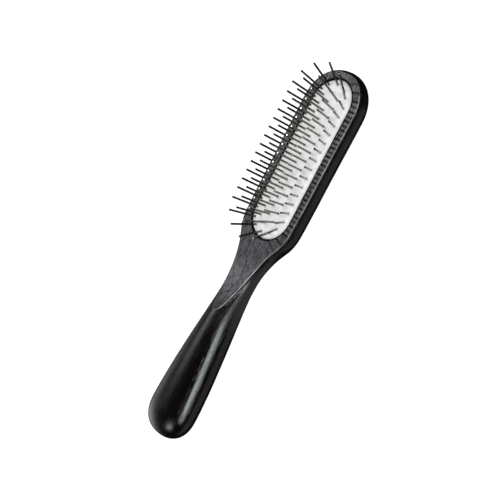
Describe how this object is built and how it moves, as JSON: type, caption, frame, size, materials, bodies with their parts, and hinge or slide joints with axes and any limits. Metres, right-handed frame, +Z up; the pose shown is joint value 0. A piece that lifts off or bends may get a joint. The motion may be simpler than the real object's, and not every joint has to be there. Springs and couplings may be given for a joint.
{
  "type": "pet pin brush",
  "caption": "Oblong pet pin brush: one-piece dark wooden body with a bulbous handle and a white domed rubber cushion carrying fanned, staggered steel pins.",
  "frame": {"origin": "on the floor plane that the brush lies on with its pins up, under the middle of its length and width", "axes": "+X along the brush from the butt of the handle to the tip of the head, +Y across it, +Z up, the way the pins stand"},
  "size_m": [0.228, 0.0444, 0.0317],
  "materials": {
    "body": "black-stained wood, satin lacquer",
    "cushion": "white moulded rubber, satin",
    "pins": "polished steel wire, rounded tips"
  },
  "bodies": {
    "root": {"wooden_body": "body", "rubber_cushion": "cushion", "pin_rank_01": "pins", "pin_rank_02": "pins", "pin_rank_03": "pins", "pin_rank_04": "pins", "pin_rank_05": "pins", "pin_rank_06": "pins", "pin_rank_07": "pins", "pin_rank_08": "pins", "pin_rank_09": "pins", "pin_rank_10": "pins", "pin_rank_11": "pins", "pin_rank_12": "pins", "pin_rank_13": "pins", "pin_rank_14": "pins", "pin_rank_15": "pins", "pin_rank_16": "pins", "pin_rank_17": "pins", "pin_rank_18": "pins", "pin_rank_19": "pins", "pin_rank_20": "pins", "pin_rank_21": "pins", "pin_rank_22": "pins", "pin_rank_23": "pins", "pin_rank_24": "pins", "pin_rank_25": "pins", "pin_rank_26": "pins", "pin_rank_27": "pins", "pin_rank_28": "pins", "pin_rank_29": "pins", "pin_rank_30": "pins", "pin_rank_31": "pins", "pin_rank_32": "pins", "pin_rank_33": "pins", "pin_rank_34": "pins", "pin_rank_35": "pins"}
  },
  "joints": []
}
